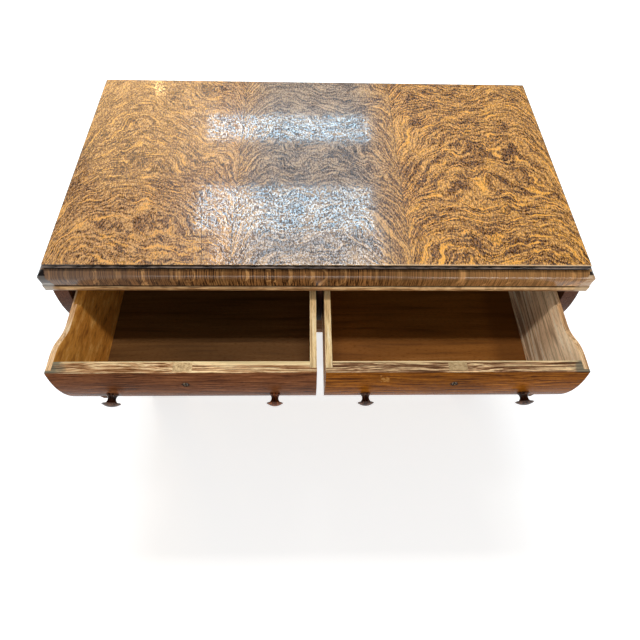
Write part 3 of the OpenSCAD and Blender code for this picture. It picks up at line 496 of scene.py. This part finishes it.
def veneer_look(side):
    """Glossy varnished veneer for one sheet, with its figure centred on the sheet."""
    node = "veneer_" + side
    low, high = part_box(node)
    dark, mid, light, gold = VENEER_OAK[side]
    look, n = new_material(node + "_oak")
    place = n.place()
    x, y = n.parts(place)[:2]
    figure = use_group(n, quarter_figure, Vector=place, Middle=(low.x + high.x) / 2,
                       Half_Width=(high.x - low.x) / 2, Seed=VENEER_SEED[side], Front=low.y)
    open_pores = use_group(n, pores, Vector=place)["Pores"]
    speckle = n.noise(n.stretch(place, (360, 150, 1)), detail=1.0)
    tone = n.noise(place, 4.0)
    shade = n.sum(n.times(figure["Lines"], 0.66), n.times(n.rise(speckle, 0.42, 0.58), 0.52))
    shade = n.sum(shade, n.rise(tone, 0.35, 0.65, -0.15, 0.05))
    colour = n.blend(n.rise(shade, 0.0, 0.55), dark, mid)
    colour = n.blend(n.rise(shade, 0.55, 1.05), colour, light)
    colour = n.blend(n.times(figure["Ribbons"], n.rise(shade, 0.0, 0.5, 0.30, 0.9)), colour, gold)
    colour = n.blend(n.times(open_pores, 0.5), colour, dark)
    colour = n.blend(n.times(figure["Joint"], 0.8), colour, JOINT_DARK)
    for crack in CRACKS[side]:
        colour = n.blend(crack_mask(n, x, y, *crack), colour, JOINT_DARK)
    greyed = n.rise(n.size(n.less(x, GREY_LINE_X)), *GREY_REACH, 1.0, 0.0)
    colour = n.add("HueSaturation", {"Saturation": n.less(1.0, n.times(greyed, GREY_FADES)),
                                     "Value": n.less(1.0, n.times(greyed, GREY_DARKENS)), "Color": colour})
    arris = n.rise(n.less(y, low.y), ARRIS_WIDTH / 2, ARRIS_WIDTH, 1.0, 0.0)
    colour = n.blend(n.times(arris, n.rise(x, *ARRIS_SPAN, 0.10, 0.75)), colour, ARRIS_PALE)
    pitted = n.noise(n.stretch(place, (340, 210, 1)), detail=1.0)
    rough = n.most(n.rise(pitted, 0.46, 0.53, 0.06, 0.62), n.times(open_pores, 0.5))
    relief = n.less(n.times(speckle, 0.5), n.times(open_pores, 0.6))
    lay_finish(n, colour, rough, relief, depth=VENEER_RELIEF, IOR=1.5)
    return look


for side in ("left", "centre", "right"):
    dress("veneer_" + side, veneer_look(side))


# The bullnose frame
# Four mitred members veneered across their length, so that the grain climbs over the nose. Pale
# flecks of ray lie at a slant, and the finish is worn through at the lower corners.
MEMBERS = ("front", "back", "left", "right")
cross_grain, n, given, asked = new_group(
    "cross grain veneer",
    [("Vector", "Vector", None),
     ("Dark", "Color", None), ("Mid", "Color", None), ("Fleck", "Color", None)],
    [("Color", "Color"), ("Height", "Float")])
x, y = n.parts(given["Vector"])[:2]
strand = n.noise(n.stretch(given["Vector"], (480, 26, 1)), detail=3.0, roughness=0.65)
board_tone = n.noise(n.stretch(given["Vector"], (14, 5, 1)))
slant = n.join(n.sum(x, n.times(y, 0.55)), n.less(y, n.times(x, 0.3)), 0.0)
flecks = n.noise(n.stretch(slant, (46, 20, 1)), distortion=0.8)
fleck = n.times(n.rise(flecks, 0.57, 0.62), n.rise(board_tone, 0.4, 0.6, 0.35, 1.0))
colour = n.blend(n.rise(strand, 0.41, 0.59), given["Dark"], given["Mid"])
colour = n.blend(n.times(fleck, n.rise(strand, 0.35, 0.6, 0.35, 0.9)), colour, given["Fleck"])
colour = n.blend(n.rise(board_tone, 0.40, 0.60, 0.35, 0.0), colour, given["Dark"])
n.feed(asked["Color"], colour)
n.feed(asked["Height"], n.sum(strand, n.times(fleck, 0.3)))

# Wear at the corners goes by how far in a point lies from the ends and the front of the frame, plain
# and frayed by noise, and by its share of the right-hand corner, which changes over near the middle.
MIDDLE_HALF = 0.1
nose_low, nose_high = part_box("frame_front")
corner_wear, n, given, asked = new_group(
    "corner wear",
    [("Vector", "Vector", None), ("Fray Scale", "Float", 110.0), ("Fray", "Float", 0.012)],
    [("In", "Float"), ("Frayed", "Float"), ("Right", "Float")])
x, y = n.parts(given["Vector"])[:2]
in_from_corner = n.most(n.less(nose_high.x, n.size(x)), n.less(y, nose_low.y))
n.feed(asked["In"], in_from_corner)
n.feed(asked["Frayed"], n.fray(in_from_corner, given["Vector"], given["Fray Scale"], given["Fray"]))
n.feed(asked["Right"], n.rise(x, -MIDDLE_HALF, MIDDLE_HALF))

NOSE_DARK = (0.038, 0.015, 0.005)
NOSE_MID = (0.370, 0.168, 0.054)
NOSE_FLECK = (0.80, 0.42, 0.15)
NOSE_GREYED = (0.17, 0.125, 0.10)
CORNER_BARE = (0.60, 0.43, 0.27)
CORNER_GREY = (0.120, 0.115, 0.110)
CORNER_ASH = (0.50, 0.47, 0.43)
CHIP_BLACK = (0.006, 0.004, 0.004)

# Spans of x over which the frame greys to the left, warms to the right and takes on a polish.
GREYED_SPAN = (-0.56, -0.2)
WARMED_SPAN = (0.0, 0.45)
POLISHED_SPAN = (-0.25, 0.2)

# The bare patch reaches further in at the foot of the frame than at its top. Its rim and its foot
# are ashen, and a black chip, whose reach and depth are given for left and right, lies above it.
BARE_REACH = (0.026, 0.0165)
ASHEN_RIM = (0.001, 0.004)
ASHEN_FOOT = (0.006, 0.013)
CHIP_REACH = (0.018, 0.0165)
CHIP_DEPTH = (0.0075, 0.0045)
CHIP_FADE = 0.002
WORN_FADE = 0.003

# The grain of the two end members starts this far from that of the front, so that it isn't repeated.
END_GRAIN_SHIFT = 3.0


def nose_look(node, runs_along_x):
    """Cross-grain veneer for one member, whose grain takes the way along the member as its x."""
    look, n = new_material(node + "_oak")
    place = n.place()
    x, y, z = n.parts(place)
    if runs_along_x:
        over_nose = n.join(x, n.less(y, z), 0.0)
    else:
        over_nose = n.join(y, n.sum(x, z), END_GRAIN_SHIFT)
    grain = use_group(n, cross_grain, Vector=over_nose, Dark=NOSE_DARK, Mid=NOSE_MID, Fleck=NOSE_FLECK)
    colour = n.blend(n.rise(x, *GREYED_SPAN, 0.55, 0.0), grain["Color"], NOSE_GREYED)
    colour = n.blend(n.rise(x, *WARMED_SPAN, 0.0, 0.22), colour, NOSE_FLECK)
    corner = use_group(n, corner_wear, Vector=place)
    streaks = n.rise(n.noise(n.stretch(over_nose, (60, 420, 1))), 0.4, 0.6)
    foot = n.rise(n.less(z, nose_low.z), *ASHEN_FOOT, 0.9, 0.0)
    ashen = n.times(n.most(n.rise(corner["In"], *ASHEN_RIM, 0.8, 0.0), foot),
                    n.rise(streaks, 0.0, 1.0, 1.0, 0.4))
    left_bare = n.blend(ashen, CORNER_GREY, CORNER_ASH)
    right_bare = n.blend(n.times(streaks, 0.75), CORNER_BARE, NOSE_MID)
    reach = n.rise(z, nose_low.z, nose_high.z, *BARE_REACH)
    worn = n.rise(n.less(corner["Frayed"], reach), -WORN_FADE, 0.0, 0.92, 0.0)
    colour = n.blend(worn, colour, n.blend(corner["Right"], left_bare, right_bare))
    chip_reach = n.rise(corner["Right"], 0.0, 1.0, *CHIP_REACH)
    chip_depth = n.rise(corner["Right"], 0.0, 1.0, *CHIP_DEPTH)
    chip = n.times(n.rise(n.less(corner["Frayed"], chip_reach), -CHIP_FADE, 0.0, 1.0, 0.0),
                   n.rise(n.sum(z, chip_depth), nose_high.z, nose_high.z + CHIP_FADE))
    colour = n.blend(n.times(chip, 0.95), colour, CHIP_BLACK)
    blotches = n.rise(n.noise(n.stretch(over_nose, (110, 60, 1))), 0.38, 0.62, 0.04, 0.3)
    lay_finish(n, colour, 0.17, grain["Height"], strength=0.25, Specular_IOR_Level=0.24,
               Coat_Weight=n.times(n.rise(x, *POLISHED_SPAN), blotches), Coat_Roughness=0.12)
    return look


for member in MEMBERS:
    dress("frame_" + member, nose_look("frame_" + member, member in ("front", "back")))


# The bead strips
# A round strip of plain oak under the nose, its grain running along it. The upper round is pale,
# partly rubbed varnish and partly a painted highlight; its foot is painted darker as shade, and the
# quirk above it is painted dark as shadow.
BEAD_DARK = (0.12, 0.055, 0.020)
BEAD_MID = (0.44, 0.205, 0.075)
BEAD_LIGHT = (0.96, 0.65, 0.32)
QUIRK_PAINTED_SHADOW = (0.012, 0.007, 0.004)
bead_low, bead_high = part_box("bead_front")

# The painted quirk shadow and the rubbed, highlit round are given as depths below the top of the
# strip, and the painted shade of the foot as heights above its lower edge. The round is rubbed and
# highlit more over a span of x to the right, and the ends are bare for a distance in from the
# corners, which noise frays.
QUIRK_DEPTH = (0.001, 0.0035)
RUB_AND_HIGHLIGHT_DEPTH = (0.006, 0.0095)
PAINTED_SHADE_FOOT = (0.004, 0.010)
RUB_AND_HIGHLIGHT_SPAN = (0.10, 0.35)
BARE_END = (0.018, 0.030)
END_FRAY = 0.03


def bead_look(node, runs_along_x):
    """Long-grain oak for one strip of the bead, rubbed pale and painted with a highlight and shade."""
    look, n = new_material(node + "_oak")
    place = n.place()
    x, y, z = n.parts(place)
    grain = oak_grain(n, n.join(z, x, y) if runs_along_x else n.join(z, y, x),
                      (BEAD_DARK, BEAD_MID, BEAD_LIGHT), width=0.0025, length=0.07, contrast=1.7)
    depth = n.less(bead_high.z, z)
    # Painted shade: the foot of the round is darkened towards the dark grain shade.
    painted_shade = n.rise(n.less(z, bead_low.z), *PAINTED_SHADE_FOOT, 0.75, 0.0)
    colour = n.blend(painted_shade, grain["Color"], BEAD_DARK)
    rub_and_glint_noise = n.rise(n.noise(n.stretch(place, (55, 55, 1))), 0.36, 0.6, 0.35, 1.0)
    # Painted highlight with rubbed wear: the upper round turns pale.
    on_round = n.rise(depth, *RUB_AND_HIGHLIGHT_DEPTH, 1.0, 0.0)
    rub_and_highlight = n.times(n.times(n.rise(x, *RUB_AND_HIGHLIGHT_SPAN, 0.32, 0.95), rub_and_glint_noise), on_round)
    colour = n.blend(rub_and_highlight, colour, BEAD_LIGHT)
    # Painted shadow: the quirk is darkened.
    colour = n.blend(n.rise(depth, *QUIRK_DEPTH, 1.0, 0.0), colour, QUIRK_PAINTED_SHADOW)
    corner = use_group(n, corner_wear, Vector=place, Fray_Scale=60.0, Fray=END_FRAY)
    bare = n.blend(corner["Right"], CORNER_ASH, CORNER_BARE)
    colour = n.blend(n.rise(corner["Frayed"], *BARE_END, 0.8, 0.0), colour, bare)
    lay_finish(n, colour, 0.30, grain["Height"], Specular_IOR_Level=0.12)
    return look


for member in MEMBERS:
    dress("bead_" + member, bead_look("bead_" + member, member in ("front", "back")))


# The drawer fronts
# Thick oak cut to the swell, its grain running along. The face is varnished, and the upper edge is
# bare, rubbed pale by hands, with dark grain lines and grey grime towards the outer end.
FRONT_OAK = {
    "left": ((0.040, 0.013, 0.005), (0.190, 0.064, 0.022), (0.32, 0.125, 0.048)),
    "right": ((0.050, 0.014, 0.002), (0.275, 0.084, 0.007), (0.46, 0.165, 0.018))}
EDGE_OAK = {
    "left": ((0.13, 0.046, 0.014), (0.62, 0.33, 0.150), (0.97, 0.72, 0.40)),
    "right": ((0.10, 0.042, 0.018), (0.41, 0.21, 0.100), (0.92, 0.64, 0.34))}
ARRIS_STRAW = (0.95, 0.72, 0.38)
# The darkest shade serves for handling stain round the keyholes and for painted shade in the liners.
STAIN_AND_SHADE_DARK = (0.012, 0.008, 0.006)
SPOT_YELLOW = (0.80, 0.42, 0.11)
GRIME = (0.11, 0.105, 0.075)

# The wood is dark with handling round each keyhole, and a yellow spot lies on the right-hand front.
THUMBED_RADIUS = (0.006, 0.011)
THUMBED_FRAY = 0.008
SPOT_X = 0.128
SPOT_Z = 0.667
SPOT_RADIUS = (0.004, 0.010)
SPOT_FRAY = 0.04

# The straw-coloured strip along the inner arris widens over a span of x on the left-hand front.
STRAW_SPAN = (-0.30, -0.20)
STRAW_WIDTH = {"left": (0.0025, 0.0085), "right": (0.003, 0.003)}
STRAW_FADE = (-0.0005, 0.001)

# How deep the bare edge and the dark arris of the face go down, and how far the grime reaches in.
BARE_DEPTH = (0.002, 0.004)
ARRIS_DEPTH = 0.0035
GRIMY_END = (0.018, 0.040)
GRIME_FRAY = 0.05


def from_centre(n, place, centre_x, centre_z):
    """The distance over the face from a centre: depth is flattened away first."""
    flat = n.stretch(place, (1, 0, 1))
    return n.add("VectorMath", {0: flat, 1: (centre_x, 0, centre_z)}, out="Value", operation="DISTANCE")


def front_look(side):
    """Varnished face and bare upper edge of one drawer front."""
    low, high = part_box("drawer_front_" + side)
    liner_low, liner_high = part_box("keyhole_liner_" + side)
    keyhole = (liner_low + liner_high) / 2
    look, n = new_material(f"drawer_front_{side}_oak")
    place = n.place()
    x, y, z = n.parts(place)
    face = oak_grain(n, n.join(z, x, y), FRONT_OAK[side], width=0.0022, length=0.085, contrast=1.75)
    ring = n.fray(from_centre(n, place, keyhole.x, keyhole.z), place, 200.0, THUMBED_FRAY)
    faced = n.blend(n.rise(ring, *THUMBED_RADIUS, 0.9, 0.0), face["Color"], STAIN_AND_SHADE_DARK)
    if side == "right":
        spot = n.fray(from_centre(n, place, SPOT_X, SPOT_Z), place, 130.0, SPOT_FRAY)
        faced = n.blend(n.rise(spot, *SPOT_RADIUS, 0.32, 0.0), faced, SPOT_YELLOW)
    edge = oak_grain(n, n.join(y, x, z), EDGE_OAK[side], width=0.0021, length=0.15, contrast=3.0)
    strip = n.rise(x, *STRAW_SPAN, *STRAW_WIDTH[side])
    inner_arris = n.rise(n.less(n.sum(y, strip), high.y), *STRAW_FADE)
    bare = n.blend(n.times(inner_arris, 0.6), edge["Color"], ARRIS_STRAW)
    from_end = n.size(n.less(x, low.x if side == "left" else high.x))
    grimy = n.rise(n.fray(from_end, place, 70.0, GRIME_FRAY), *GRIMY_END, 0.8, 0.0)
    bare = n.blend(grimy, bare, GRIME)
    depth = n.less(high.z, z)
    on_edge = n.times(n.rise(n.facing_up(), 0.6, 0.9), n.rise(depth, *BARE_DEPTH, 1.0, 0.0))
    colour = n.blend(on_edge, faced, bare)
    arris = n.times(n.rise(n.size(depth), 0.0, ARRIS_DEPTH, 1.0, 0.0), n.less(1.0, on_edge))
    colour = n.blend(n.times(arris, 0.5), colour, EDGE_OAK[side][0])
    lay_finish(n, colour, n.rise(on_edge, 0.0, 1.0, 0.26, 0.55), face["Height"], Specular_IOR_Level=0.015)
    return look


for side in SIDES:
    dress("drawer_front_" + side, front_look(side))


# The drawer boxes
# Sides and back of golden oak left bare, and a thin bottom board gone dark. The right-hand side and
# the inner sides have faded to a greyer tan, and the leaning sides are brown on the outside.
SIDE_OAK = {
    "left": ((0.30, 0.105, 0.016), (0.66, 0.260, 0.040), (0.95, 0.52, 0.14)),
    "right": ((0.40, 0.255, 0.150), (0.95, 0.66, 0.390), (0.98, 0.86, 0.64))}
BOTTOM_OAK = {
    "left": ((0.090, 0.037, 0.008), (0.175, 0.074, 0.018), (0.27, 0.130, 0.040)),
    "right": ((0.150, 0.050, 0.008), (0.350, 0.128, 0.020), (0.52, 0.22, 0.055))}
STRAW_OAK = ((0.40, 0.23, 0.10), (0.88, 0.61, 0.29), (0.97, 0.80, 0.52))
LEAN_EDGE_OAK = ((0.30, 0.15, 0.060), (0.80, 0.47, 0.23), (0.95, 0.72, 0.45))
OUTSIDE_BROWN = (0.16, 0.075, 0.032)

# Streak width and length, and contrast at the foot of a side and higher up, with the heights at
# which it starts and ends to change. The rubbed edge goes as deep as EDGE_DEPTH where it is level.
SIDE_STREAKS = {"left": (0.010, 0.055), "right": (0.0048, 0.20)}
SIDE_CONTRAST = {"left": (0.9, 1.2), "right": (2.4, 0.9)}
INNER_CONTRAST = (0.9, 0.9)
CONTRAST_HEIGHT = (0.05, 0.10)
EDGE_DEPTH = (0.02, 0.03)

# The end of a leaning side shows beside the foot of its front, as deep and as high as this.
SHOWN_DEPTH = (0.010, 0.014)
SHOWN_HEIGHT = (0.02, 0.03)

# The x from which the right-hand bottom is darkened as a painted shadow, and the finish of the boards.
BOTTOM_SHADOWED_FROM = 0.385
BACK_ROUGHNESS = 0.6
BOTTOM_ROUGHNESS = 0.55


def side_look(node, shades, edge_shades, streaks, contrasts, varnish=None):
    """Bare oak with a pale rubbed upper edge; varnish colours the end that shows beside the front."""
    width, length = streaks
    low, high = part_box(node)
    look, n = new_material(node + "_oak")
    x, y, z = n.parts(n.place())
    height = n.less(z, low.z)
    contrast = n.rise(height, *CONTRAST_HEIGHT, *contrasts)
    grain = oak_grain(n, n.join(z, y, x), shades, width, length, contrast)
    facing_up = n.facing_up()
    colour = n.blend(n.rise(facing_up, -0.25, -0.05, 0.75, 0.0), grain["Color"], OUTSIDE_BROWN)
    if varnish is not None:
        shown = n.rise(n.less(y, low.y), *SHOWN_DEPTH, 0.9, 0.0)
        shown = n.times(shown, n.rise(height, *SHOWN_HEIGHT, 1.0, 0.0))
        colour = n.blend(shown, colour, varnish)
    edge = oak_grain(n, n.join(x, y, z), edge_shades, width=0.003, length=0.12, contrast=1.4)
    on_edge = n.times(n.rise(facing_up, 0.84, 0.92), n.rise(n.less(high.z, z), *EDGE_DEPTH, 1.0, 0.0))
    colour = n.blend(on_edge, colour, edge["Color"])
    lay_finish(n, colour, 0.6, grain["Height"], strength=0.4, Specular_IOR_Level=0.1)
    return look


for side in SIDES:
    outer = "drawer_outer_side_" + side
    inner = "drawer_inner_side_" + side
    dress(outer, side_look(outer, SIDE_OAK[side], LEAN_EDGE_OAK, SIDE_STREAKS[side], SIDE_CONTRAST[side],
                           varnish=FRONT_OAK[side][0]))
    dress(inner, side_look(inner, SIDE_OAK["right"], STRAW_OAK, SIDE_STREAKS["right"], INNER_CONTRAST))
    back_look = plain_look(f"drawer_back_{side}_oak", ALONG_X, SIDE_OAK[side], BACK_ROUGHNESS)
    dress("drawer_back_" + side, back_look)
    bottom_look = plain_look(f"drawer_bottom_{side}_board", ALONG_X, BOTTOM_OAK[side], BOTTOM_ROUGHNESS,
                             shadowed_from=BOTTOM_SHADOWED_FROM, width=0.012, length=0.35, contrast=0.8)
    dress("drawer_bottom_" + side, bottom_look)


# The locks
# A brass plate let into the upper edge of the front, over a case with its bolt, and a thin brass
# liner in the keyhole, painted almost black as the shade inside the hole. The rest of the brass has
# gone dull and brown.
BRASS_DULL = (0.44, 0.30, 0.15)
BRASS_BROWN = (0.31, 0.195, 0.090)
brass_look, n = new_material("dull_brass")
place = n.place()
tarnish = n.noise(place, 160.0, detail=4.0, roughness=0.65)
scratches = n.noise(n.stretch(place, (60, 1400, 60)))
rough = n.sum(n.rise(tarnish, 0.35, 0.65, 0.42, 0.55), n.times(scratches, 0.1))
lay_finish(n, n.blend(n.rise(tarnish, 0.35, 0.65), BRASS_DULL, BRASS_BROWN), rough, Metallic=0.75)

# The liner is painted near-black as the shade inside the keyhole.
keyhole_shade_look, n = new_material("brass_painted_as_keyhole_shade")
keyhole_shade = n.rise(n.noise(n.place(), 300.0), 0.45, 0.65)
lay_finish(n, n.blend(keyhole_shade, STAIN_AND_SHADE_DARK, BRASS_BROWN), 0.5, Metallic=0.6)
for side in SIDES:
    for part in ("lock_", "lock_bolt_", "lock_screws_"):
        dress(part + side, brass_look)
    dress("keyhole_liner_" + side, keyhole_shade_look)


# The knobs
# Turned hardwood, stained almost black and polished, with a shank let into the front. The inner knob
# of the left drawer is a redder replacement.
KNOB_BLACK = (0.024, 0.010, 0.006)
KNOB_BROWN = (0.150, 0.068, 0.036)
KNOB_DARK_RED = (0.060, 0.014, 0.004)
KNOB_RED = (0.260, 0.075, 0.020)


def knob_look(name, dark, mid):
    """Dark polished turning with faint rings of grain."""
    look, n = new_material(name)
    place = n.place()
    grain = n.noise(n.stretch(place, (300, 60, 120)), detail=3.0)
    wear = n.noise(place, 120.0)
    lay_finish(n, n.blend(n.rise(grain, 0.35, 0.7), dark, mid), n.rise(wear, 0.35, 0.7, 0.10, 0.26),
               Specular_IOR_Level=0.15)
    return look


dark_knob = knob_look("dark_polished_knob", KNOB_BLACK, KNOB_BROWN)
dress("knob_outer_left", dark_knob)
dress("knob_inner_left", knob_look("red_polished_knob", KNOB_DARK_RED, KNOB_RED))
dress("knob_inner_right", dark_knob)
dress("knob_outer_right", dark_knob)
